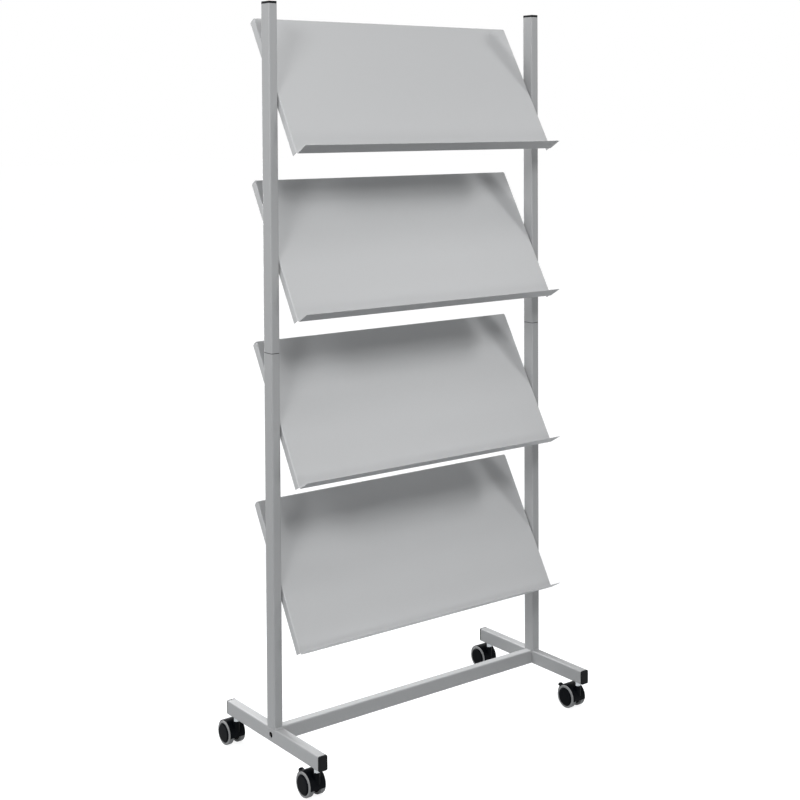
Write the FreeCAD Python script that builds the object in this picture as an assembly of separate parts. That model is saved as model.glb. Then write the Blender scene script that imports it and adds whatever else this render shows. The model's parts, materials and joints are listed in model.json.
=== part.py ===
import FreeCAD, Part
import math
import os

vector = FreeCAD.Vector
origin = vector(0, 0, 0)
x_axis = vector(1, 0, 0)
y_axis = vector(0, 1, 0)
z_axis = vector(0, 0, 1)

# rectangular steel tube of the whole frame: narrow side, wide side, wall, outer corner
tube_narrow = 20.0
tube_wide = 30.0
tube_wall = 1.5
tube_corner = 3.0
seam_chamfer = 0.5
snug_clearance = 0.1

# frame layout
foot_length = 350.0
foot_bottom = 62.5
lower_post_length = 761.5
upper_post_length = 700.0
sleeve_length = 120.0
sleeve_screw_offset = 30.0
weld_leg = 2.5
weld_inset = 2.0

# plastic plugs
foot_cap_head = 4.0
post_cap_head = 5.0
cap_edge = 1.2
plug_length = 10.5
plug_rib = 1.2
plug_rib_pitch = 3.6
plug_rib_count = 3
plug_first_rib = 1.0
plug_core_inset = 2.5

# crossbar fixing
insert_length = 22.0
bolt_radius = 3.0
bolt_length = 25.0
bolt_head_radius = 5.0
bolt_head_height = 6.0
bolt_socket = 5.0
bolt_socket_depth = 3.0
bolt_washer_radius = 6.0
bolt_washer_thickness = 1.6
bolt_hole_radius = 3.3
access_hole_radius = 6.0
thread_clearance = 0.05

# folded trays
tray_width = 680.0
tray_side_gap = 1.5
tray_length = 318.0
tray_lip = 34.0
tray_flange = 15.0
sheet = 1.0
bend_inside = 1.0
bend_outside = bend_inside + sheet
corner_relief = 1.0
tray_tilt = 30.0
tray_front = 80.0
bottom_tray_height = 259.5
tray_pitch = 332.0
tray_names = ["shelf_bottom", "shelf_lower", "shelf_upper", "shelf_top"]
tray_screw_behind = 8.0
tray_screw_spacing = 24.0

# tray fixings
screw_radius = 2.5
screw_length = 12.0
screw_head_radius = 4.75
screw_head_height = 2.75
screw_socket = 3.0
screw_socket_depth = 1.6
screw_hole_radius = 2.75
screw_washer_radius = 5.0
screw_washer_thickness = 1.0
rivet_body_radius = 3.5
rivet_bulge_radius = 4.6
rivet_bulge_length = 3.0
rivet_length = 11.0
rivet_flange_radius = 5.0

# casters
caster_offset = 152.0
caster_trail = 21.0
wheel_radius = 25.0
wheel_half_track = 21.6
hood_radius = 27.0
hood_well_radius = 25.5
hood_half_width = 17.5
hood_edge = 1.0
hood_web_half = 5.5
hood_top = 53.0
hood_front_angle = 190.0
hood_tail_angle = 15.0
braked_tail_angle = 49.0
web_radius = 11.0
web_rear_angle = -20.0
boss_radius = 6.5
boss_bottom = 30.0
boss_edge = 0.8
wheel_gap = 0.5
axle_radius = 3.0
axle_half_length = 17.0
axle_clearance = 0.05
core_radius = 20.3
core_rim = 2.5
core_hub_radius = 6.5
core_rim_start = 8.0
core_cover = 3.8
cover_bevel = 3.0
cover_inside_gap = 0.7
tread_start = 7.6
tread_end = 19.2
tread_edge = 1.5
stem_radius = 4.0
stem_thread_length = 14.0
stem_hole_radius = 4.3
stem_collar_flats = 11.0
stem_gap = 0.3
pin_radius = 3.95
pin_clearance = 0.05
pin_bottom = 34.0
ring_bottom = 47.2
ring_height = 1.2
ring_outside = 4.9
groove_radius = 3.4
groove_play = 0.2
ring_room = 0.4
nut_flats = 13.0
nut_height = 6.5

# brake pedal on the front casters, drawn with the brake on
pivot_distance = 19.0
pivot_angle = 50.0
trunnion_radius = 1.5
trunnion_end = 5.2
pedal_hub_radius = 3.0
blade_half_width = 3.2
blade_low_angle = 25.0
slot_half_width = 3.5
slot_radius = 3.9
ear_radius = 4.0
shoe_inside = 25.3
shoe_outside = 27.0
shoe_start_angle = 14.0
shoe_end_angle = 44.0
shoe_half_width = 16.5
tab_half_width = 5.5
tab_thickness = 3.0
tab_end = 41.0
tab_angle = 21.0
tab_corner = 3.5

# derived positions
foot_top = foot_bottom + tube_wide
post_joint = foot_top + lower_post_length
post_top = post_joint + upper_post_length
post_inside = tray_width / 2 + tray_side_gap
post_centre = post_inside + tube_narrow / 2
foot_tube_length = foot_length - 2 * foot_cap_head
inner_narrow = tube_narrow - 2 * tube_wall
inner_wide = tube_wide - 2 * tube_wall
inner_corner = tube_corner - tube_wall
bar_height = foot_bottom + tube_wide / 2
rear_edge = caster_offset + caster_trail + hood_radius * math.cos(math.radians(hood_tail_angle))
front_edge = foot_length / 2
centring = vector(0, (front_edge - rear_edge) / 2, 0)


def cylinder(radius, start, direction, length):
    return Part.makeCylinder(radius, length, start, direction)


def block(low, high):
    size = high - low
    return Part.makeBox(size.x, size.y, size.z, low)


def turned(shape, direction, angle):
    result = shape.copy()
    result.rotate(origin, direction, angle)
    return result


def moved(shape, offset):
    result = shape.copy()
    result.translate(offset)
    return result


def mirrored(shape):
    return shape.mirror(origin, x_axis)


def both_sides(shape):
    return [shape, mirrored(shape)]


def rounded_rectangle(width, depth, radius):
    arcs = []
    for side_x, side_y, start in [(1, 1, 0), (-1, 1, 90), (-1, -1, 180), (1, -1, 270)]:
        centre = vector(side_x * (width / 2 - radius), side_y * (depth / 2 - radius), 0)
        arcs.append(Part.makeCircle(radius, centre, z_axis, start, start + 90))
    edges = []
    for index, arc in enumerate(arcs):
        following = arcs[(index + 1) % len(arcs)]
        edges.append(arc)
        arc_end = arc.valueAt(arc.LastParameter)
        edges.append(Part.makeLine(arc_end, following.valueAt(following.FirstParameter)))
    return Part.Wire(edges)


def rounded_bar(width, depth, radius, length):
    return Part.Face(rounded_rectangle(width, depth, radius)).extrude(vector(0, 0, length))


def rectangular_tube(width, depth, length):
    outside = rounded_bar(width, depth, tube_corner, length)
    inside = rounded_bar(width - 2 * tube_wall, depth - 2 * tube_wall, inner_corner, length)
    return outside.cut(inside)


def hexagon(flats, height, socket_radius):
    radius = flats / math.sqrt(3)
    corners = []
    for index in range(7):
        angle = math.radians(60 * index)
        corners.append(vector(radius * math.cos(angle), radius * math.sin(angle), 0))
    prism = Part.Face(Part.makePolygon(corners)).extrude(vector(0, 0, height))
    if socket_radius > 0:
        prism = prism.cut(cylinder(socket_radius, origin, z_axis, height))
    return prism


def edges_at_height(shape, height, reach_x, reach_y):
    # the outermost edges of a bar's end: those that reach its outer faces
    found = []
    for edge in shape.Edges:
        box = edge.BoundBox
        flat = abs(box.ZMin - height) < 0.01 and abs(box.ZMax - height) < 0.01
        far_x = max(abs(box.XMin), abs(box.XMax))
        far_y = max(abs(box.YMin), abs(box.YMax))
        if flat and (far_x > reach_x - 0.01 or far_y > reach_y - 0.01):
            found.append(edge)
    return found


def post_tube(length, chamfered_height):
    tube = rectangular_tube(tube_narrow, tube_wide, length)
    edges = edges_at_height(tube, chamfered_height, tube_narrow / 2, tube_wide / 2)
    return tube.makeChamfer(seam_chamfer, edges)


def along_y(shape):
    return turned(shape, x_axis, -90)


def along_x(shape):
    return turned(shape, y_axis, 90)


def tray_point(behind, up, tray_height):
    # from the tray's own plane to the rack: behind is square to the sheet, up is along it
    tilt = math.radians(tray_tilt)
    depth = behind * math.cos(tilt) + up * math.sin(tilt) - tray_front
    height = up * math.cos(tilt) - behind * math.sin(tilt) + tray_height
    return vector(0, depth, height)


def tray_heights():
    return [bottom_tray_height + tray_pitch * index for index in range(len(tray_names))]


def tray_screw_rises():
    # where the slanting side flange crosses the middle of the post
    tilt = math.radians(tray_tilt)
    middle = (tray_front - tray_screw_behind * math.cos(tilt)) / math.sin(tilt)
    return [middle - tray_screw_spacing / 2, middle + tray_screw_spacing / 2]


def tray_screw_points():
    points = []
    for height in tray_heights():
        for rise in tray_screw_rises():
            points.append(tray_point(tray_screw_behind, rise, height))
    return points


def feet():
    tube = rectangular_tube(tube_narrow, tube_wide, foot_tube_length)
    tube = moved(along_y(tube), vector(post_centre, -foot_tube_length / 2, bar_height))
    for side in (-1, 1):
        stem = vector(post_centre, side * caster_offset, foot_bottom - tube_wall)
        tube = tube.cut(cylinder(stem_hole_radius, stem, z_axis, 3 * tube_wall))
    inner_wall = vector(post_inside - tube_wall, 0, bar_height)
    tube = tube.cut(cylinder(bolt_hole_radius, inner_wall, x_axis, 3 * tube_wall))
    outer_wall = vector(post_inside + tube_narrow - 2 * tube_wall, 0, bar_height)
    tube = tube.cut(cylinder(access_hole_radius, outer_wall, x_axis, 3 * tube_wall))
    return {"foot_right": [tube], "foot_left": [mirrored(tube)]}


def posts():
    lower = moved(post_tube(lower_post_length, lower_post_length), vector(post_centre, 0, foot_top))
    upper = moved(post_tube(upper_post_length, 0), vector(post_centre, 0, post_joint))
    for point in tray_screw_points():
        start = vector(post_inside - tube_wall, point.y, point.z)
        hole = cylinder(rivet_body_radius, start, x_axis, 3 * tube_wall)
        lower = lower.cut(hole)
        upper = upper.cut(hole)
    for offset in (-sleeve_screw_offset, sleeve_screw_offset):
        start = vector(post_centre, tube_wide / 2 - 2 * tube_wall, post_joint + offset)
        hole = cylinder(screw_hole_radius, start, y_axis, 3 * tube_wall)
        lower = lower.cut(hole)
        upper = upper.cut(hole)
    return {
        "lower_post_right": [lower],
        "lower_post_left": [mirrored(lower)],
        "upper_post_right": [upper],
        "upper_post_left": [mirrored(upper)],
    }


def weld_beads():
    beads = []
    length = tube_narrow - 2 * weld_inset
    for side in (-1, 1):
        face = side * tube_wide / 2
        corners = [
            vector(0, face, foot_top),
            vector(0, face + side * weld_leg, foot_top),
            vector(0, face, foot_top + weld_leg),
            vector(0, face, foot_top),
        ]
        bead = Part.Face(Part.makePolygon(corners)).extrude(vector(length, 0, 0))
        beads += both_sides(moved(bead, vector(post_centre - length / 2, 0, 0)))
    return {"post_weld_beads": beads}


def sleeves():
    width = inner_narrow - 2 * snug_clearance
    depth = inner_wide - 2 * snug_clearance
    outside = rounded_bar(width, depth, inner_corner, sleeve_length)
    hollow = rounded_bar(width - 2 * tube_wall, depth - 2 * tube_wall, tube_wall / 2, sleeve_length)
    sleeve = moved(outside.cut(hollow), vector(post_centre, 0, post_joint - sleeve_length / 2))
    screws = []
    for offset in (-sleeve_screw_offset, sleeve_screw_offset):
        place = vector(post_centre, tube_wide / 2, post_joint + offset)
        start = place - y_axis * (3 * tube_wall)
        sleeve = sleeve.cut(cylinder(screw_radius, start, y_axis, 3 * tube_wall))
        screw = button_screw(screw_length)
        screws += both_sides(moved(turned(screw, z_axis, -90), place))
    return {
        "post_sleeve_right": [sleeve],
        "post_sleeve_left": [mirrored(sleeve)],
        "sleeve_screws": screws,
    }


def plug(head_thickness):
    # head above the plane z = 0, ribbed plug below it
    head = rounded_bar(tube_narrow, tube_wide, tube_corner, head_thickness)
    rim = edges_at_height(head, head_thickness, tube_narrow / 2, tube_wide / 2)
    head = head.makeFillet(cap_edge, rim)
    core_width = inner_narrow - 2 * plug_core_inset
    core_depth = inner_wide - 2 * plug_core_inset
    core = moved(rounded_bar(core_width, core_depth, plug_rib, plug_length), vector(0, 0, -plug_length))
    result = head.fuse(core)
    rib_width = inner_narrow - 2 * snug_clearance
    rib_depth = inner_wide - 2 * snug_clearance
    for index in range(plug_rib_count):
        drop = plug_rib_pitch * index + plug_rib + plug_first_rib
        rib = rounded_bar(rib_width, rib_depth, inner_corner, plug_rib)
        result = result.fuse(moved(rib, vector(0, 0, -drop)))
    return result.removeSplitter()


def caps():
    post_cap = moved(plug(post_cap_head), vector(post_centre, 0, post_top))
    rear_plug = turned(plug(foot_cap_head), x_axis, -90)
    rear = moved(rear_plug, vector(post_centre, foot_tube_length / 2, bar_height))
    front_plug = turned(plug(foot_cap_head), x_axis, 90)
    front = moved(front_plug, vector(post_centre, -foot_tube_length / 2, bar_height))
    return {
        "post_cap_right": [post_cap],
        "post_cap_left": [mirrored(post_cap)],
        "foot_cap_rear_right": [rear],
        "foot_cap_rear_left": [mirrored(rear)],
        "foot_cap_front_right": [front],
        "foot_cap_front_left": [mirrored(front)],
    }


def crossbar():
    length = 2 * post_inside
    tube = along_x(rectangular_tube(tube_wide, tube_narrow, length))
    tube = moved(tube, vector(-post_inside, 0, bar_height))
    insert_width = inner_wide - 2 * snug_clearance
    insert_depth = inner_narrow - 2 * snug_clearance
    insert = rounded_bar(insert_width, insert_depth, inner_corner, insert_length)
    insert = insert.cut(cylinder(bolt_radius + thread_clearance, origin, z_axis, insert_length))
    insert = moved(along_x(insert), vector(post_inside - insert_length, 0, bar_height))
    washer = cylinder(bolt_washer_radius, origin, x_axis, bolt_washer_thickness)
    washer = washer.cut(cylinder(bolt_hole_radius, origin, x_axis, bolt_washer_thickness))
    washer = moved(washer, vector(post_inside + tube_wall, 0, bar_height))
    head_face = post_inside + tube_wall + bolt_washer_thickness
    shank = cylinder(bolt_radius, vector(head_face - bolt_length, 0, bar_height), x_axis, bolt_length)
    head = cylinder(bolt_head_radius, vector(head_face, 0, bar_height), x_axis, bolt_head_height)
    socket = along_x(hexagon(bolt_socket, bolt_socket_depth, 0))
    socket_start = head_face + bolt_head_height - bolt_socket_depth
    bolt = shank.fuse(head).removeSplitter().cut(moved(socket, vector(socket_start, 0, bar_height)))
    return {
        "crossbar": [tube],
        "crossbar_inserts": both_sides(insert),
        "crossbar_washers": both_sides(washer),
        "crossbar_bolts": both_sides(bolt),
    }


def button_screw(length):
    # head towards -x, its underside at x = 0
    shank = cylinder(screw_radius - thread_clearance, origin, x_axis, length)
    head = cylinder(screw_head_radius, vector(-screw_head_height, 0, 0), x_axis, screw_head_height)
    rim = [edge for edge in head.Edges if edge.BoundBox.XMax < -screw_head_height + 0.01]
    head = head.makeChamfer(screw_head_height / 2, rim)
    socket = moved(along_x(hexagon(screw_socket, screw_socket_depth, 0)), vector(-screw_head_height, 0, 0))
    return head.fuse(shank).removeSplitter().cut(socket)


def tray_section():
    # lip, lower bend, panel, upper bend and upper flange as one bent strip, seen from the side
    low = bend_inside + sheet
    high = tray_length - bend_outside
    back = sheet
    turn = -bend_inside
    lower = vector(0, turn, low)
    upper = vector(0, bend_outside, high)
    edges = []

    def arc(centre, radius, middle_angle):
        points = []
        for offset in (-45, 0, 45):
            angle = math.radians(middle_angle + offset)
            points.append(centre + vector(0, radius * math.cos(angle), radius * math.sin(angle)))
        return Part.Arc(points[0], points[1], points[2]).toShape()

    def line(start, end):
        return Part.makeLine(vector(0, start[0], start[1]), vector(0, end[0], end[1]))

    edges.append(line((-tray_lip, 0), (turn, 0)))
    edges.append(arc(lower, bend_outside, -45))
    edges.append(line((back, low), (back, high)))
    edges.append(arc(upper, bend_inside, 135))
    edges.append(line((bend_outside, tray_length - sheet), (tray_flange, tray_length - sheet)))
    edges.append(line((tray_flange, tray_length - sheet), (tray_flange, tray_length)))
    edges.append(line((tray_flange, tray_length), (bend_outside, tray_length)))
    edges.append(arc(upper, bend_outside, 135))
    edges.append(line((0, high), (0, low)))
    edges.append(arc(lower, bend_inside, -45))
    edges.append(line((turn, sheet), (-tray_lip, sheet)))
    edges.append(line((-tray_lip, sheet), (-tray_lip, 0)))
    return Part.Face(Part.Wire(Part.__sortEdges__(edges)))


def tray_side():
    # the bend and the side flange on the right, seen from above
    flat_end = tray_width / 2 - bend_outside
    outside = tray_width / 2
    inside = outside - sheet
    centre = vector(flat_end, bend_outside, 0)

    def arc(radius):
        points = []
        for degrees in (-90, -45, 0):
            angle = math.radians(degrees)
            points.append(centre + vector(radius * math.cos(angle), radius * math.sin(angle), 0))
        return Part.Arc(points[0], points[1], points[2]).toShape()

    edges = [
        arc(bend_outside),
        Part.makeLine(vector(outside, bend_outside, 0), vector(outside, tray_flange, 0)),
        Part.makeLine(vector(outside, tray_flange, 0), vector(inside, tray_flange, 0)),
        Part.makeLine(vector(inside, tray_flange, 0), vector(inside, bend_outside, 0)),
        arc(bend_inside),
        Part.makeLine(vector(flat_end, sheet, 0), vector(flat_end, 0, 0)),
    ]
    start = bend_outside + corner_relief
    length = tray_length - 2 * start
    strip = Part.Face(Part.Wire(Part.__sortEdges__(edges))).extrude(vector(0, 0, length))
    strip = moved(strip, vector(0, 0, start))
    for rise in tray_screw_rises():
        hole = cylinder(screw_hole_radius, vector(inside - sheet, tray_screw_behind, rise), x_axis, 3 * sheet)
        strip = strip.cut(hole)
    return strip


def trays():
    flat_width = tray_width - 2 * bend_outside
    sheet_body = moved(tray_section().extrude(vector(flat_width, 0, 0)), vector(-flat_width / 2, 0, 0))
    for side in both_sides(tray_side()):
        sheet_body = sheet_body.fuse(side)
    leaning = turned(sheet_body.removeSplitter(), x_axis, -tray_tilt)
    nodes = {}
    for name, height in zip(tray_names, tray_heights()):
        nodes[name] = [moved(leaning, vector(0, -tray_front, height))]
    return nodes


def tray_fixings():
    flange_inside = tray_width / 2 - sheet
    seat = flange_inside - screw_washer_thickness
    washer = cylinder(screw_washer_radius, origin, x_axis, screw_washer_thickness)
    washer = washer.cut(cylinder(screw_hole_radius, origin, x_axis, screw_washer_thickness))
    rivet = cylinder(rivet_flange_radius, vector(-tray_side_gap, 0, 0), x_axis, tray_side_gap)
    rivet = rivet.fuse(cylinder(rivet_body_radius, origin, x_axis, rivet_length))
    rivet = rivet.fuse(cylinder(rivet_bulge_radius, vector(tube_wall, 0, 0), x_axis, rivet_bulge_length))
    bore = cylinder(screw_radius, vector(-tray_side_gap, 0, 0), x_axis, rivet_length + tray_side_gap)
    rivet = rivet.removeSplitter().cut(bore)
    screws = []
    washers = []
    rivets = []
    for point in tray_screw_points():
        screws += both_sides(moved(button_screw(screw_length), point + x_axis * seat))
        washers += both_sides(moved(washer, point + x_axis * seat))
        rivets += both_sides(moved(rivet, point + x_axis * post_inside))
    return {"shelf_screws": screws, "shelf_washers": washers, "shelf_rivet_nuts": rivets}


def polar(distance, degrees):
    # round the axle, seen from the side: 0 degrees is to the rear, 90 is up
    angle = math.radians(degrees)
    return vector(0, caster_trail + distance * math.cos(angle), wheel_radius + distance * math.sin(angle))


def side_plate(edges, half_width):
    face = Part.Face(Part.Wire(Part.__sortEdges__(edges)))
    return moved(face.extrude(vector(2 * half_width, 0, 0)), vector(-half_width, 0, 0))


def round_axle(radius, start_degrees, end_degrees):
    middle = (start_degrees + end_degrees) / 2
    first = polar(radius, start_degrees)
    last = polar(radius, end_degrees)
    return Part.Arc(first, polar(radius, middle), last).toShape()


def chain(points):
    return [Part.makeLine(first, second) for first, second in zip(points[:-1], points[1:])]


def mudguard(tail):
    # curved shell over both wheels and, in its middle, the web that the axle is pressed in
    edges = [round_axle(hood_radius, hood_front_angle, tail)]
    web = [polar(hood_radius, tail), polar(hood_well_radius, tail), polar(web_radius, web_rear_angle)]
    web += [polar(web_radius, -90), polar(hood_well_radius, hood_front_angle)]
    web.append(polar(hood_radius, hood_front_angle))
    body = side_plate(edges + chain(web), hood_half_width)
    rims = []
    for edge in body.Edges:
        box = edge.BoundBox
        on_side = min(abs(box.XMin), abs(box.XMax)) > hood_half_width - 0.01
        if on_side and abs(edge.Length - edges[0].Length) < 0.01:
            rims.append(edge)
    body = body.makeFillet(hood_edge, rims)
    axle_place = polar(0, 0)
    for side in (-1, 1):
        start = vector(side * hood_web_half, axle_place.y, axle_place.z)
        body = body.cut(cylinder(hood_well_radius, start, x_axis * side, hood_half_width))
    return body


def stem_boss():
    boss = cylinder(boss_radius, vector(0, 0, boss_bottom), z_axis, hood_top - boss_bottom)
    rim = [edge for edge in boss.Edges if edge.BoundBox.ZMin > hood_top - 0.01]
    return boss.makeFillet(boss_edge, rim)


def pivot_cylinder(radius, half_width):
    place = polar(pivot_distance, pivot_angle)
    return cylinder(radius, vector(-half_width, place.y, place.z), x_axis, 2 * half_width)


def pedal_slot():
    # room for the pedal's blade, open to the rear
    place = polar(pivot_distance, pivot_angle)
    rear = polar(tab_end, 0).y
    roof = polar(hood_radius + hood_edge, braked_tail_angle)
    corners = [
        place + z_axis * slot_radius,
        roof,
        vector(0, rear, roof.z),
        vector(0, rear, place.z - slot_radius),
        place - z_axis * slot_radius,
    ]
    slot = side_plate(chain(corners + [corners[0]]), slot_half_width)
    return slot.fuse(pivot_cylinder(slot_radius, slot_half_width))


def hood(braked):
    body = mudguard(braked_tail_angle if braked else hood_tail_angle)
    if braked:
        body = body.fuse(pivot_cylinder(ear_radius, hood_web_half)).removeSplitter()
        body = body.cut(pedal_slot())
        body = body.cut(pivot_cylinder(trunnion_radius + axle_clearance, hood_half_width))
    body = body.fuse(stem_boss()).removeSplitter()
    axle_place = polar(0, 0)
    body = body.cut(cylinder(axle_radius, axle_place - x_axis * hood_half_width, x_axis, 2 * hood_half_width))
    socket_bottom = pin_bottom - stem_gap
    body = body.cut(cylinder(pin_radius + pin_clearance, vector(0, 0, socket_bottom), z_axis, hood_top))
    recess_start = vector(0, 0, ring_bottom - stem_gap)
    recess = cylinder(ring_outside + ring_room, recess_start, z_axis, ring_height + 2 * stem_gap)
    return body.cut(recess)


def pedal_tab():
    # rounded toe plate that leaves the shoe towards the rear
    inside = (shoe_inside + shoe_outside) / 2
    low = vector(-tab_half_width, inside, -tab_thickness / 2)
    high = vector(tab_half_width, tab_end, tab_thickness / 2)
    plate = block(low, high)
    corners = []
    for edge in plate.Edges:
        box = edge.BoundBox
        if box.YMin > tab_end - 0.01 and box.ZLength > tab_thickness - 0.01:
            corners.append(edge)
    plate = plate.makeFillet(tab_corner, corners)
    return moved(turned(plate, x_axis, tab_angle), polar(0, 0))


def pedal():
    edges = [round_axle(shoe_inside, shoe_start_angle, shoe_end_angle)]
    edges += chain([polar(shoe_inside, shoe_end_angle), polar(shoe_outside, shoe_end_angle)])
    edges.append(round_axle(shoe_outside, shoe_end_angle, shoe_start_angle))
    edges += chain([polar(shoe_outside, shoe_start_angle), polar(shoe_inside, shoe_start_angle)])
    body = side_plate(edges, shoe_half_width)
    place = polar(pivot_distance, pivot_angle)
    middle = (shoe_inside + shoe_outside) / 2
    corners = [
        place + z_axis * pedal_hub_radius,
        polar(middle, shoe_end_angle),
        polar(middle, blade_low_angle),
        place - z_axis * pedal_hub_radius,
    ]
    body = body.fuse(side_plate(chain(corners + [corners[0]]), blade_half_width))
    body = body.fuse(pivot_cylinder(pedal_hub_radius, blade_half_width))
    body = body.fuse(pivot_cylinder(trunnion_radius, trunnion_end))
    return body.fuse(pedal_tab()).removeSplitter()


def spun_round_axle(points):
    outline = [vector(across, 0, distance) for across, distance in points]
    face = Part.Face(Part.makePolygon(outline + [outline[0]]))
    return moved(face.revolve(origin, x_axis, 360), polar(0, 0))


def wheel_core():
    start = hood_web_half + wheel_gap
    bore = axle_radius + axle_clearance
    cover_inside = wheel_half_track - core_cover
    blind_end = axle_half_length + cover_inside_gap
    rim_inside = core_radius - core_rim
    points = [
        (start, bore),
        (start, core_hub_radius),
        (cover_inside, core_hub_radius),
        (cover_inside, rim_inside),
        (core_rim_start, rim_inside),
        (core_rim_start, core_radius),
        (tread_end, core_radius),
        (wheel_half_track, core_radius - cover_bevel),
        (wheel_half_track, 0),
        (blind_end, 0),
        (blind_end, bore),
    ]
    return spun_round_axle(points)


def wheel_tread():
    diagonal = tread_edge * (1 - math.cos(math.radians(45)))
    points = [
        (tread_start, core_radius),
        (tread_start, wheel_radius - tread_edge),
        (tread_start + diagonal, wheel_radius - diagonal),
        (tread_start + tread_edge, wheel_radius),
        (tread_end - tread_edge, wheel_radius),
        (tread_end - diagonal, wheel_radius - diagonal),
        (tread_end, wheel_radius - tread_edge),
        (tread_end, core_radius),
    ]
    return spun_round_axle(points)


def axle():
    start = polar(0, 0) - x_axis * axle_half_length
    return cylinder(axle_radius, start, x_axis, 2 * axle_half_length)


def stem():
    collar_bottom = hood_top + stem_gap
    body = moved(hexagon(stem_collar_flats, foot_bottom - collar_bottom, 0), vector(0, 0, collar_bottom))
    body = body.fuse(cylinder(stem_radius, vector(0, 0, foot_bottom), z_axis, stem_thread_length))
    body = body.fuse(cylinder(pin_radius, vector(0, 0, pin_bottom), z_axis, collar_bottom - pin_bottom))
    groove_bottom = ring_bottom - groove_play
    groove_height = ring_height + 2 * groove_play
    groove = cylinder(ring_outside, vector(0, 0, groove_bottom), z_axis, groove_height)
    groove = groove.cut(cylinder(groove_radius, vector(0, 0, groove_bottom), z_axis, groove_height))
    return body.removeSplitter().cut(groove)


def stem_ring():
    ring = cylinder(ring_outside, vector(0, 0, ring_bottom), z_axis, ring_height)
    return ring.cut(cylinder(groove_radius, vector(0, 0, ring_bottom), z_axis, ring_height))


def caster_nut():
    nut = turned(hexagon(nut_flats, nut_height, stem_radius + thread_clearance), z_axis, 30)
    return moved(nut, vector(0, 0, foot_bottom + tube_wall))


def casters():
    nodes = {"stem_rings": [], "caster_nuts": []}
    core = wheel_core()
    tread = wheel_tread()
    for end, end_side, braked in (("front", -1, True), ("rear", 1, False)):
        swivel = hood(braked)
        for side_name, side in (("left", -1), ("right", 1)):
            place = vector(side * post_centre, end_side * caster_offset, 0)
            name = "caster_" + end + "_" + side_name
            nodes[name + "_hood"] = [moved(swivel, place)]
            nodes[name + "_stem"] = [moved(stem(), place)]
            nodes[name + "_axle"] = [moved(axle(), place)]
            nodes[name + "_wheel_right"] = [moved(core, place)]
            nodes[name + "_wheel_left"] = [moved(mirrored(core), place)]
            nodes[name + "_tread_right"] = [moved(tread, place)]
            nodes[name + "_tread_left"] = [moved(mirrored(tread), place)]
            if braked:
                nodes[name + "_brake"] = [moved(pedal(), place)]
            nodes["stem_rings"].append(moved(stem_ring(), place))
            nodes["caster_nuts"].append(moved(caster_nut(), place))
    return nodes


def write_nodes(nodes):
    os.makedirs("parts", exist_ok=True)
    for name, shapes in nodes.items():
        solids = []
        for shape in shapes:
            solids += moved(shape, centring).Solids
        result = solids[0] if len(solids) == 1 else Part.makeCompound(solids)
        result.exportStep("parts/" + name + ".step")
        print(name, len(solids), round(sum(solid.Volume for solid in solids), 1))


all_nodes = {}
for group in (feet, posts, weld_beads, sleeves, caps, crossbar, trays, tray_fixings, casters):
    all_nodes.update(group())
write_nodes(all_nodes)
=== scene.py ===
import bpy
import json
import math
import numpy as np
from mathutils import Euler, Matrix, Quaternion, Vector


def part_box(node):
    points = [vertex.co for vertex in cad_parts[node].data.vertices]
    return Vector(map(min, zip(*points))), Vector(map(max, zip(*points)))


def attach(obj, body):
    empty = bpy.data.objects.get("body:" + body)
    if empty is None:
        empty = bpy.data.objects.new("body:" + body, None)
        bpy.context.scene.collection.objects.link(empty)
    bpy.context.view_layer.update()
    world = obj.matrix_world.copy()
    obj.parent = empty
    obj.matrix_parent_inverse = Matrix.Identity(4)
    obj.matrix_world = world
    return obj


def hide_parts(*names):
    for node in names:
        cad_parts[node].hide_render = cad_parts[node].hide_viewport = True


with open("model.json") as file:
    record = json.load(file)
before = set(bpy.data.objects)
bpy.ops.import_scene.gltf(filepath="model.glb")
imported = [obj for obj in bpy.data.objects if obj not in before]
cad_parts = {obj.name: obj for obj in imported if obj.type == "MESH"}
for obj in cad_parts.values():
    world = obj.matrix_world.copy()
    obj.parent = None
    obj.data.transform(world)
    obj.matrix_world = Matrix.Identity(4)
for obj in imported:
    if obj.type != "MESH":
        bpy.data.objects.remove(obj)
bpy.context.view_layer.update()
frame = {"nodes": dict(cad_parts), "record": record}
scene = bpy.context.scene
print("frame loaded:", len(frame["nodes"]), "nodes")

mm = 0.001
white = (1.0, 1.0, 1.0, 1.0)
upright = (0, 0, 1)


def linearColour(hexText):
    # sRGB hex to linear light, channel by channel
    channels = np.array([int(hexText[i:i + 2], 16) for i in (1, 3, 5)]) / 255
    linear = np.where(channels <= 0.04045, channels / 12.92, ((channels + 0.055) / 1.055) ** 2.4)
    return tuple(float(c) for c in linear) + (1.0,)


def addNode(tree, kind, settings=None, inputs=None):
    # one node with its settings; an input given a socket is linked, anything else is set on it
    node = tree.nodes.new(kind)
    for name, value in (settings or {}).items():
        setattr(node, name, value)
    for name, value in (inputs or {}).items():
        if isinstance(value, bpy.types.NodeSocket):
            tree.links.new(value, node.inputs[name])
        else:
            node.inputs[name].default_value = value
    return node


def newMaterial(name):
    material = bpy.data.materials.new(name)
    material.use_nodes = True
    material.node_tree.nodes.clear()
    return material, material.node_tree


# the camera's view is shifted and nearly level, so that the posts stay upright; its place is in mm
cameraSpec = {
    "place": (-1885.9, -2466.24, 1317.1),
    "turnDeg": -37.164,
    "pitchDeg": -1.895,
    "rollDeg": -0.305,
    "sensor": 36,
    "lens": 64.79,
    "shiftY": -0.2883,
    "nearM": 0.05,
    "farM": 100,
}


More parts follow.
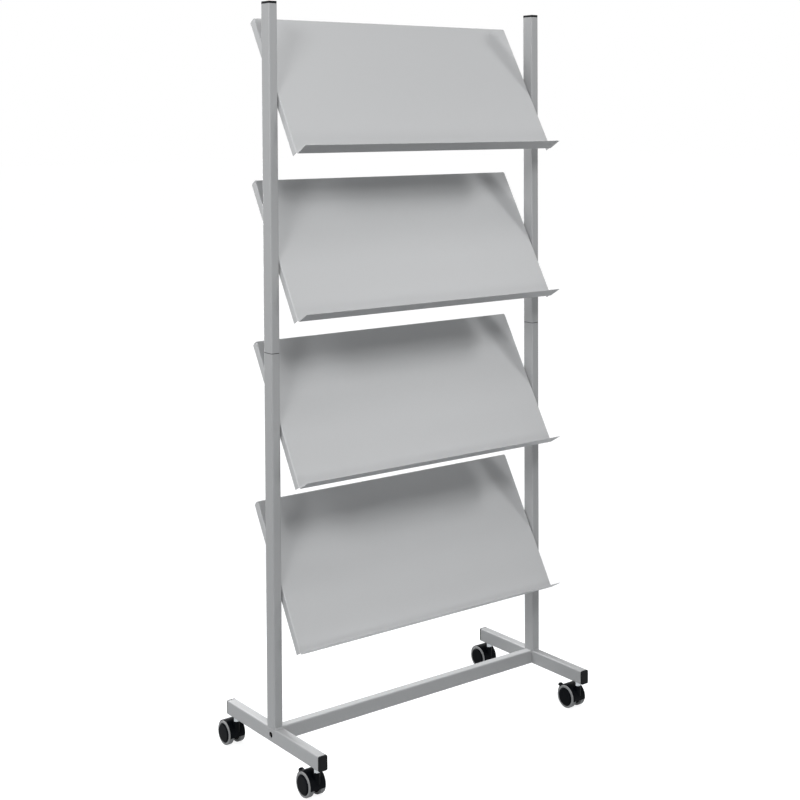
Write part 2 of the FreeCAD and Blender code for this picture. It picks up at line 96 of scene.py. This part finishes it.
def makeCamera(spec):
    camera = bpy.data.objects.new("camera", bpy.data.cameras.new("camera"))
    scene.collection.objects.link(camera)
    camera.data.sensor_width = spec["sensor"]
    camera.data.lens = spec["lens"]
    camera.data.shift_y = spec["shiftY"]
    camera.data.clip_start = spec["nearM"]
    camera.data.clip_end = spec["farM"]
    camera.location = Vector(spec["place"]) * mm
    aim = Euler((math.radians(90 + spec["pitchDeg"]), 0, math.radians(spec["turnDeg"]))).to_quaternion()
    camera.rotation_mode = "QUATERNION"
    camera.rotation_quaternion = aim @ Quaternion(upright, math.radians(spec["rollDeg"]))
    scene.camera = camera


makeCamera(cameraSpec)

# distances on the floor are metres from its middle
floorSpec = {
    "half": 40.0,
    "nearColour": "#8E9092",  # what the floor throws back at the rack, close to it and farther out
    "farColour": "#585A5C",
    "colourRise": (0.45, 1.3),  # the first colour ends between these distances
    "lift": (0.87, 1.0),  # white added for the camera and for shiny surfaces, close and farther out
    "liftRise": (0.7, 3.5),
}
# the sky's own faint light, and the strength at which the backdrop is white
skySpec = {"colour": "#E4E9EE", "strength": 0.03, "backdrop": 1.0}


def backdropRay(tree):
    # the camera and whatever is shiny or clear see the white background, and matt surfaces don't
    rays = addNode(tree, "ShaderNodeLightPath").outputs
    shiny = addNode(tree, "ShaderNodeMath", {"operation": "MAXIMUM"}, {
        0: rays["Is Glossy Ray"], 1: rays["Is Transmission Ray"]})
    return addNode(tree, "ShaderNodeMath", {"operation": "MAXIMUM"}, {
        0: rays["Is Camera Ray"], 1: shiny.outputs[0]}).outputs[0]


def paperFloor(spec):
    # matt grey paper that is lifted to white, so that it keeps only soft shadows
    material, tree = newMaterial("paleFloor")
    place = addNode(tree, "ShaderNodeTexCoord").outputs["Object"]
    distance = addNode(tree, "ShaderNodeVectorMath", {"operation": "LENGTH"}, {0: place}).outputs["Value"]
    rises = []
    for reach, ends in ((spec["colourRise"], (0, 1)), (spec["liftRise"], spec["lift"])):
        rises.append(addNode(tree, "ShaderNodeMapRange", {"interpolation_type": "SMOOTHSTEP"}, {
            "Value": distance, "From Min": reach[0], "From Max": reach[1],
            "To Min": ends[0], "To Max": ends[1]}).outputs[0])
    colour = addNode(tree, "ShaderNodeMix", {"data_type": "RGBA"}, {
        0: rises[0], 6: linearColour(spec["nearColour"]), 7: linearColour(spec["farColour"])})
    matt = addNode(tree, "ShaderNodeBsdfDiffuse", inputs={"Color": colour.outputs[2]})
    lift = addNode(tree, "ShaderNodeMath", {"operation": "MULTIPLY"}, {0: backdropRay(tree), 1: rises[1]})
    glow = addNode(tree, "ShaderNodeEmission", inputs={"Color": white, "Strength": lift.outputs[0]})
    both = addNode(tree, "ShaderNodeAddShader", inputs={0: matt.outputs[0], 1: glow.outputs[0]})
    addNode(tree, "ShaderNodeOutputMaterial", inputs={"Surface": both.outputs[0]})
    return material


def makeFloor(spec):
    half = spec["half"]
    corners = [(-half, -half, 0), (half, -half, 0), (half, half, 0), (-half, half, 0)]
    mesh = bpy.data.meshes.new("floor")
    mesh.from_pydata(corners, [], [(0, 1, 2, 3)])
    mesh.materials.append(paperFloor(spec))
    floor = bpy.data.objects.new("floor", mesh)
    scene.collection.objects.link(floor)


def makeSky(spec):
    world = bpy.data.worlds.new("studio")
    scene.world = world
    world.use_nodes = True
    tree = world.node_tree
    tree.nodes.clear()
    light = addNode(tree, "ShaderNodeBackground", inputs={
        "Color": linearColour(spec["colour"]), "Strength": spec["strength"]})
    backdrop = addNode(tree, "ShaderNodeBackground", inputs={"Color": white, "Strength": spec["backdrop"]})
    mixed = addNode(tree, "ShaderNodeMixShader", inputs={
        0: backdropRay(tree), 1: light.outputs[0], 2: backdrop.outputs[0]})
    addNode(tree, "ShaderNodeOutputWorld", inputs={"Surface": mixed.outputs[0]})


# soft square lamps, in metres, all turned to the same point in the rack
lampAim = (0, 0, 0.78)
lampSpec = {
    "keyLeft": {"place": (-1.2, -2.8, 3.03), "size": 0.75, "watts": 55},
    "keyRight": {"place": (2.2, -1.85, 2.87), "size": 0.6, "watts": 22},
    "leftSide": {"place": (-3.38, 0.35, 1.63), "size": 0.8, "watts": 42},
    "leftHigh": {"place": (-2.68, -1.42, 2.53), "size": 0.8, "watts": 29},
    "frontLow": {"place": (0.0, -2.1, 0.5), "size": 0.4, "watts": 7},
    "backHigh": {"place": (0.0, 4.2, 6.6), "size": 1.7, "watts": 530},
    "leftBackHigh": {"place": (-1.93, 1.62, 3.21), "size": 0.8, "watts": 33},
    "overhead": {"place": (0.2, -1.2, 3.3), "size": 0.6, "watts": 11},
    "rearFill": {"place": (0.3, 3.2, 0.9), "size": 1.0, "watts": 60},
}


def makeLamps(specs, aim):
    for name, spec in specs.items():
        data = bpy.data.lights.new(name, "AREA")
        data.shape = "SQUARE"
        data.size = spec["size"]
        data.energy = spec["watts"]
        lamp = bpy.data.objects.new(name, data)
        scene.collection.objects.link(lamp)
        lamp.location = spec["place"]
        lamp.rotation_mode = "QUATERNION"
        lamp.rotation_quaternion = (Vector(aim) - Vector(spec["place"])).to_track_quat("-Z", "Y")


scene.view_settings.view_transform = "Standard"
makeFloor(floorSpec)
makeSky(skySpec)
makeLamps(lampSpec, lampAim)
print("camera, stage and lamps made")

noiseLow, noiseHigh = 0.3, 0.7  # nearly all of a noise lies between these
resinIor = 1.5


def objectNoise(tree, sizeMm, detail, stretch=(1, 1, 1)):
    # noise whose lumps are sizeMm across, on the object's own coordinates
    place = addNode(tree, "ShaderNodeTexCoord").outputs["Object"]
    scaled = addNode(tree, "ShaderNodeMapping", inputs={"Vector": place, "Scale": stretch}).outputs[0]
    return addNode(tree, "ShaderNodeTexNoise", inputs={
        "Vector": scaled, "Scale": 1 / (sizeMm * mm), "Detail": detail}).outputs[0]


def mottled(tree, noise, spec):
    # colour and roughness that wander together from the dark tone to the light one
    spreads = []
    for low, high in ((0, 1), spec["rough"]):
        spreads.append(addNode(tree, "ShaderNodeMapRange", inputs={
            "Value": noise, "From Min": noiseLow, "From Max": noiseHigh,
            "To Min": low, "To Max": high}).outputs[0])
    colour = addNode(tree, "ShaderNodeMix", {"data_type": "RGBA"}, {
        0: spreads[0], 6: linearColour(spec["dark"]), 7: linearColour(spec["light"])})
    return colour.outputs[2], spreads[1]


def finished(material, tree, shaderInputs, relief=None, depthMm=0):
    # the shader that all finishes share, with a relief of the given depth where there is one
    if relief:
        bump = addNode(tree, "ShaderNodeBump", inputs={"Distance": depthMm * mm, "Height": relief})
        shaderInputs["Normal"] = bump.outputs[0]
    shader = addNode(tree, "ShaderNodeBsdfPrincipled", inputs=shaderInputs)
    addNode(tree, "ShaderNodeOutputMaterial", inputs={"Surface": shader.outputs[0]})
    return material


powderSpecs = {
    # peelMm and peelDepthMm are the width and depth of the orange peel, flakeMm the size of the flake
    "frameCoat": {"light": "#A2A3A4", "dark": "#9A9B9C", "metallic": 0.04, "gloss": 0.3, "rough": (0.42, 0.52),
                  "peelMm": 1.6, "peelDepthMm": 0.02, "flakeMm": 0.5, "shadedJoint": True},
    "trayCoat": {"light": "#B8B9BA", "dark": "#B0B1B2", "metallic": 0.04, "gloss": 0.3, "rough": (0.42, 0.52),
                 "peelMm": 1.6, "peelDepthMm": 0.02, "flakeMm": 0.5, "shadedJoint": False},
}
# the painted shade of the joint in the posts is darkest within coreMm of its height and ends at halfMm from it
jointShadeSpec = {"heightMm": 854.0, "coreMm": 0.5, "halfMm": 0.95, "colour": "#262828"}


def paintedJointShade(tree, colour, spec):
    # where the two tubes of a post meet, the coat runs thin over the cut edges, and the shade in the gap
    # between them is painted in as a near-black line
    place = addNode(tree, "ShaderNodeTexCoord").outputs["Object"]
    height = addNode(tree, "ShaderNodeSeparateXYZ", inputs={0: place}).outputs["Z"]
    above = addNode(tree, "ShaderNodeMath", {"operation": "SUBTRACT"}, {0: height, 1: spec["heightMm"] * mm})
    away = addNode(tree, "ShaderNodeMath", {"operation": "ABSOLUTE"}, {0: above.outputs[0]})
    amount = addNode(tree, "ShaderNodeMapRange", inputs={
        "Value": away.outputs[0], "From Min": spec["coreMm"] * mm, "From Max": spec["halfMm"] * mm,
        "To Min": 1, "To Max": 0})
    return addNode(tree, "ShaderNodeMix", {"data_type": "RGBA"}, {
        0: amount.outputs[0], 6: colour, 7: linearColour(spec["colour"])}).outputs[2]


def silverPowderCoat(name, spec):
    # polyester powder with aluminium flake, sprayed on steel and baked: a satin grey that turns lighter
    # towards the lamps, with a faint orange peel and fine flake that breaks up the highlight
    material, tree = newMaterial(name)
    flake = objectNoise(tree, spec["flakeMm"], 1)  # real flake is 0.05 mm; drawn coarser so that it shows
    peel = objectNoise(tree, spec["peelMm"], 1)
    colour, rough = mottled(tree, flake, spec)
    # the frame's coat carries a painted shade line where the post's tubes meet
    if spec["shadedJoint"]:
        colour = paintedJointShade(tree, colour, jointShadeSpec)
    return finished(material, tree, {
        "Base Color": colour, "Metallic": spec["metallic"], "Roughness": rough, "IOR": resinIor,
        "Specular IOR Level": spec["gloss"]}, peel, spec["peelDepthMm"])


plasticSpecs = {
    # patchMm is the size of the rubbed patches, grainMm and depthMm the width and depth of the grain
    "capPolyethylene": {"light": "#1B1C1E", "dark": "#141517", "rough": (0.5, 0.65), "gloss": 0.08,
                        "patchMm": 18, "grainMm": 0.6, "depthMm": 0.03},
    "casterNylon": {"light": "#07090D", "dark": "#030508", "rough": (0.34, 0.48), "gloss": 0.04,
                    "patchMm": 18, "grainMm": 0.8, "depthMm": 0.02},
    "wheelNylon": {"light": "#0B0D11", "dark": "#07090C", "rough": (0.32, 0.45), "gloss": 0.02,
                   "patchMm": 18, "grainMm": 1.2, "depthMm": 0.02},
}


def mouldedPlastic(name, spec):
    # black plastic shot into a spark-eroded steel mould: a fine even grain, a soft wide highlight and
    # patches that are a little shinier where hands and feet rub it
    material, tree = newMaterial(name)
    grain = objectNoise(tree, spec["grainMm"], 2)
    colour, rough = mottled(tree, objectNoise(tree, spec["patchMm"], 2), spec)
    return finished(material, tree, {
        "Base Color": colour, "Roughness": rough, "IOR": resinIor,
        "Specular IOR Level": spec["gloss"]}, grain, spec["depthMm"])


treadSpec = {"light": "#8B8C8C", "dark": "#737475", "rough": (0.55, 0.75), "dustMm": 5.0,
             "grainMm": 0.7, "depthMm": 0.02}


def greyTreadRubber(name, spec):
    # non-marking thermoplastic rubber moulded round the wheel: dull mid grey, a little dusty
    material, tree = newMaterial(name)
    grain = objectNoise(tree, spec["grainMm"], 1)
    colour, rough = mottled(tree, objectNoise(tree, spec["dustMm"], 3), spec)
    return finished(material, tree, {
        "Base Color": colour, "Roughness": rough, "IOR": resinIor}, grain, spec["depthMm"])


metalSpecs = {
    # grainMm is the size of the polish's grain, drawn out along the bar by stretch
    "brightZincPlate": {"light": "#BCBFC1", "dark": "#9A9EA2", "rough": (0.26, 0.42),
                        "grainMm": 2.0, "stretch": (1, 1, 1)},
    "drawnSteel": {"light": "#A9A8A6", "dark": "#8B8A88", "rough": (0.3, 0.45),
                   "grainMm": 0.8, "stretch": (0.1, 1, 1)},
}


def barMetal(name, spec):
    # steel, electroplated with zinc or left as drawn: a cool metal with a fine uneven polish
    material, tree = newMaterial(name)
    colour, rough = mottled(tree, objectNoise(tree, spec["grainMm"], 2, spec["stretch"]), spec)
    return finished(material, tree, {"Base Color": colour, "Metallic": 1.0, "Roughness": rough})


finishes = {
    "frame_paint": silverPowderCoat("frameCoat", powderSpecs["frameCoat"]),
    "tray_paint": silverPowderCoat("trayCoat", powderSpecs["trayCoat"]),
    "cap_plastic": mouldedPlastic("capPolyethylene", plasticSpecs["capPolyethylene"]),
    "caster_plastic": mouldedPlastic("casterNylon", plasticSpecs["casterNylon"]),
    "wheel_plastic": mouldedPlastic("wheelNylon", plasticSpecs["wheelNylon"]),
    "tread_rubber": greyTreadRubber("greyTreadRubber", treadSpec),
    "zinc_plate": barMetal("brightZincPlate", metalSpecs["brightZincPlate"]),
    "plain_steel": barMetal("drawnSteel", metalSpecs["drawnSteel"]),
}
trayNodes = ("shelf_bottom", "shelf_lower", "shelf_upper", "shelf_top")


def dressNodes():
    slots = {part["node"]: part["material_slot"] for part in frame["record"]["subparts"]}
    for name, node in frame["nodes"].items():
        node.data.materials.clear()
        # the trays take a copy of the frame's coat in a lighter tone
        node.data.materials.append(finishes["tray_paint" if name in trayNodes else slots[name]])


dressNodes()
print("materials on", len(frame["nodes"]), "nodes")

sharpDeg = 40  # edges that turn more than this stay sharp


def tubeMesh(name, tubes):
    # each tube is a stack of closed rings, an array of rings by points by xyz in mm, seen anticlockwise
    # from its far end; both ends close on their own middle point
    vertices = []
    faces = []
    start = 0
    for rings in tubes:
        count, around = rings.shape[:2]
        here = np.arange(around)
        beside = (here + 1) % around
        low = start + np.arange(count - 1)[:, None] * around
        high = low + around
        quads = np.stack([low + here, low + beside, high + beside, high + here], -1).reshape(-1, 4)
        first = start + count * around
        last = first - around
        lowFan = np.stack([np.full(around, first), start + beside, start + here], -1)
        highFan = np.stack([np.full(around, first + 1), last + here, last + beside], -1)
        faces += quads.tolist() + lowFan.tolist() + highFan.tolist()
        ends = np.stack([rings[0].mean(0), rings[-1].mean(0)])
        vertices.append(np.concatenate([rings.reshape(-1, 3), ends]))
        start = first + 2
    mesh = bpy.data.meshes.new(name)
    mesh.from_pydata((np.concatenate(vertices) * mm).tolist(), [], faces)
    mesh.shade_smooth()
    mesh.set_sharp_from_angle(angle=math.radians(sharpDeg))
    return mesh


def addPiece(name, tubes, slot, node):
    # a finer piece takes the place of one CAD node, on the same body and in the same slot
    piece = bpy.data.objects.new(name, tubeMesh(name, tubes))
    piece.data.materials.append(finishes[slot])
    scene.collection.objects.link(piece)
    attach(piece, "rack")
    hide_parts(node)
    print(name + ":", len(tubes))


# in mm; ripple is the share of the radius that comes and goes with each pitch, bow how many pitches its
# toes lag, and endPower and endLeft say how late and how far the ends run out
beadSpec = {"length": 16.0, "leg": 2.5, "ripple": 0.09, "pitch": 1.7, "bow": 0.5, "endPower": 14,
            "endLeft": 0.003, "rings": 90, "across": 15}


def weldBead(middle, side, spec):
    # fillet weld in the corner of post and foot: a quarter round whose radius ripples along the seam as
    # the size of a sine does, each ripple bowed back at its toes, and nearly gone at the very ends
    along = np.linspace(-1, 1, spec["rings"])[:, None]
    turn = np.linspace(0, np.pi / 2, spec["across"])[None, :]
    step = along * spec["length"] / 2 / spec["pitch"] + spec["bow"] * np.cos(2 * turn) ** 2
    radius = spec["leg"] * (1 - spec["ripple"] * np.abs(np.sin(np.pi * step)))
    radius = radius * (1 + spec["endLeft"] - np.abs(along) ** spec["endPower"]) ** 0.5
    corner = np.zeros((len(along), 1))
    out = np.concatenate([radius * np.cos(turn), corner], 1)
    up = np.concatenate([radius * np.sin(turn), corner], 1)
    across = np.broadcast_to(along * spec["length"] / 2, out.shape)
    rings = np.stack([middle[0] + across, middle[1] + side * out, middle[2] + up], -1)
    return rings if side > 0 else rings[:, ::-1]


def addWeldBeads(spec):
    beads = []
    for name in ("lower_post_left", "lower_post_right"):
        low, high = (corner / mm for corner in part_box(name))
        for side, face in ((-1, low.y), (1, high.y)):
            beads.append(weldBead(((low.x + high.x) / 2, face, low.z), side, spec))
    addPiece("postWeldBeads", beads, "frame_paint", "post_weld_beads")


# in mm; the head's underside has a small chamfer, and the socket ends in a shallow drilled point
screwSpec = {
    "shankRadius": 2.4, "length": 12.0, "headRadius": 4.75, "headHeight": 2.75, "rim": 0.45, "chamfer": 0.3,
    "mouth": 2.3, "mouthEdge": 0.3, "mouthRise": 0.02, "mouthShare": 0.6, "socket": 3.0, "socketLead": 0.2,
    "socketDepth": 1.6, "pointRadius": 0.3, "pointDepth": 0.4, "domeSteps": 10, "around": 72,
}


def buttonScrew(spec):
    # low domed head turned round z, its underside at z = 0; the dome is part of an ellipse and ends at
    # the mouth of a hexagonal socket, so the rings change there from circles to hexagons
    angle = np.linspace(0, 2 * np.pi, spec["around"], endpoint=False)
    hexagon = spec["socket"] / 2 / np.cos(np.mod(angle, np.pi / 3) - np.pi / 6)
    head = spec["headRadius"]
    bulge = spec["headHeight"] - spec["rim"]
    rise = np.linspace(0, math.acos(spec["mouth"] / head), spec["domeSteps"])
    dome = np.stack([head * np.cos(rise), spec["rim"] + bulge * np.sin(rise), 0 * rise], 1)
    top = dome[-1, 1]
    bottom = top - spec["socketDepth"]
    # each row of the profile is the circle's radius, the height and the share of the hexagon
    shank = [(spec["shankRadius"], -spec["length"], 0), (spec["shankRadius"], 0, 0),
             (head - spec["chamfer"], 0, 0), (head, spec["chamfer"], 0)]
    socket = [(spec["mouth"] - spec["mouthEdge"], top + spec["mouthRise"], spec["mouthShare"]),
              (0, top - spec["socketLead"], 1), (0, bottom, 1),
              (spec["pointRadius"], bottom - spec["pointDepth"], 0)]
    circle, level, share = np.concatenate([shank, dome, socket]).T[:, :, None]
    radius = circle * (1 - share) + hexagon * share
    return np.stack([radius * np.cos(angle), radius * np.sin(angle), level + 0 * angle], -1)


def placed(shape, outward, place):
    # turns the piece's z axis to the given direction and moves its origin there
    turn = np.array(Vector(upright).rotation_difference(Vector(outward)).to_matrix())
    return shape @ turn.T + np.array(place)


screwPlaces = {
    # in mm; the folds are the lower edges of the trays' panels, and the screws sit up the tilted panel
    # from there and a little behind it
    "foldHeights": (259.5, 591.5, 923.5, 1255.5), "foldY": -92.04, "tiltDeg": 30.0,
    "rises": (134.14, 158.14), "behind": 8.0, "seatX": 338.0,
    "sleeveHeights": (824.0, 884.0), "postX": 351.5, "postRear": 2.96,
}


def addScrews(spec, places):
    shape = buttonScrew(spec)
    tilt = math.radians(places["tiltDeg"])
    behind = places["behind"]
    trayScrews = []
    sleeveScrews = []
    for side in (-1, 1):
        for fold in places["foldHeights"]:
            for rise in places["rises"]:
                depth = behind * math.cos(tilt) + rise * math.sin(tilt) + places["foldY"]
                height = rise * math.cos(tilt) - behind * math.sin(tilt) + fold
                seat = (side * places["seatX"], depth, height)
                trayScrews.append(placed(shape, (-side, 0, 0), seat))
        for height in places["sleeveHeights"]:
            seat = (side * places["postX"], places["postRear"], height)
            sleeveScrews.append(placed(shape, (0, 1, 0), seat))
    addPiece("shelfScrews", trayScrews, "zinc_plate", "shelf_screws")
    addPiece("sleeveScrews", sleeveScrews, "zinc_plate", "sleeve_screws")


addWeldBeads(beadSpec)
addScrews(screwSpec, screwPlaces)
